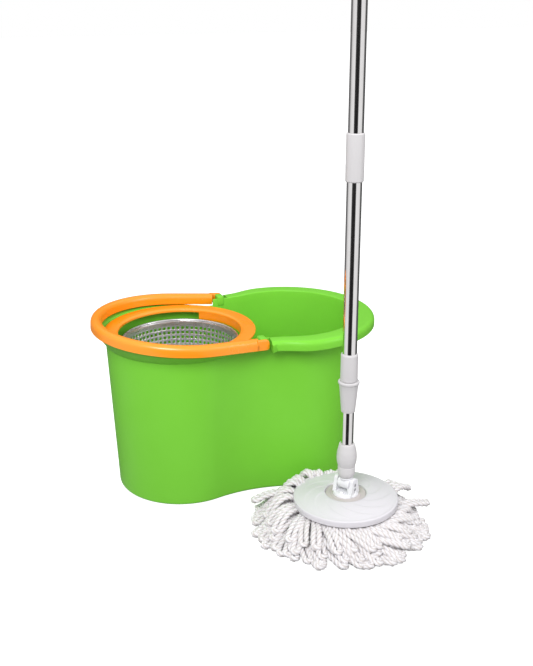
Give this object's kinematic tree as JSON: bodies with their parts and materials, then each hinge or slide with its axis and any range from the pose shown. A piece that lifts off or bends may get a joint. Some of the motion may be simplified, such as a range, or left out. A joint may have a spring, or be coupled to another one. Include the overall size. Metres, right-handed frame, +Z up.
{
  "type": "spin mop and bucket set",
  "caption": "Two-lobed plastic bucket with a hanging steel spin basket and a folding bail, and a round-headed yarn mop with a press-to-spin tube handle.",
  "frame": {"origin": "middle of the bucket's flat base, between its two lobes", "axes": "+Z up; +X from the basket lobe to the wash lobe; the mop stands on the -Y side"},
  "size_m": [0.4698, 0.5115, 1.0804],
  "materials": {
    "green_plastic": "satin moulded polypropylene",
    "orange_plastic": "glossy moulded polypropylene",
    "steel": "turned",
    "basket_steel": "polished stainless sheet",
    "bronze": "sintered",
    "chrome_tube": "polished stainless tube",
    "grey_plastic": "light grey satin",
    "disc_plastic": "warm grey satin",
    "white_plastic": "smooth white",
    "yarn": "twisted microfibre yarn"
  },
  "bodies": {
    "bucket": {"bucket_shell": "green_plastic", "wringer_collar": "orange_plastic", "spindle": "steel", "spindle_clip": "steel"},
    "basket": {"basket_bowl": "basket_steel", "basket_hub": "grey_plastic", "spindle_bush": "bronze", "hub_cap": "grey_plastic", "hub_screw_1": "steel", "hub_screw_2": "steel", "hub_screw_3": "steel"},
    "bail": {"bail_handle": "orange_plastic"},
    "mop_head": {"yarn_ring": "yarn", "refill_ring": "white_plastic", "head_plate": "white_plastic", "hub_disc": "disc_plastic", "hinge_block": "white_plastic", "hinge_pin": "steel", "head_screw": "steel"},
    "lower_pole": {"pole_knuckle": "white_plastic", "lower_socket": "grey_plastic", "socket_rivet": "steel", "inner_tube": "chrome_tube", "drive_nut": "grey_plastic"},
    "swivel_guide": {"guide_bush": "white_plastic"},
    "upper_pole": {"outer_tube": "chrome_tube", "lock_collar": "grey_plastic", "drive_strip": "steel", "strip_anchor": "grey_plastic", "coupling_sleeve": "grey_plastic", "top_tube": "chrome_tube", "handle_grip": "grey_plastic", "end_cap": "grey_plastic"},
    "lock": {"lock_sleeve": "grey_plastic"}
  },
  "joints": [
    {"name": "bail_swing", "type": "hinge", "parent": "bucket", "child": "bail", "pos_m": [0.01, 0, 0.264], "axis": [0, 1, 0], "range_deg": [0, 100]},
    {"name": "basket_spin", "type": "hinge", "parent": "bucket", "child": "basket", "pos_m": [-0.091, 0, 0.165], "axis": [0, 0, 1], "continuous": true},
    {"name": "mop_lift", "type": "slide", "parent": "bucket", "child": "mop_head", "axis": [0, -0.1961, 0.9806], "range_m": [0, 0.35]},
    {"name": "pole_tilt", "type": "hinge", "parent": "mop_head", "child": "lower_pole", "pos_m": [0.103, -0.23069, 0.0663], "axis": [0.5299, -0.848, 0], "range_deg": [-80, 80]},
    {"name": "pole_turn", "type": "hinge", "parent": "lower_pole", "child": "swivel_guide", "pos_m": [0.103, -0.23069, 0.4558], "axis": [0, 0, 1], "continuous": true},
    {"name": "pole_press", "type": "slide", "parent": "swivel_guide", "child": "upper_pole", "axis": [0, 0, 1], "range_m": [-0.04, 0.19]},
    {"name": "lock_twist", "type": "hinge", "parent": "upper_pole", "child": "lock", "pos_m": [0.103, -0.23069, 0.1848], "axis": [0, 0, 1], "range_deg": [0, 75]}
  ],
  "couplings": [
    {"joint": "pole_turn", "follows": "pole_press", "rad_per_m": 62.832}
  ]
}
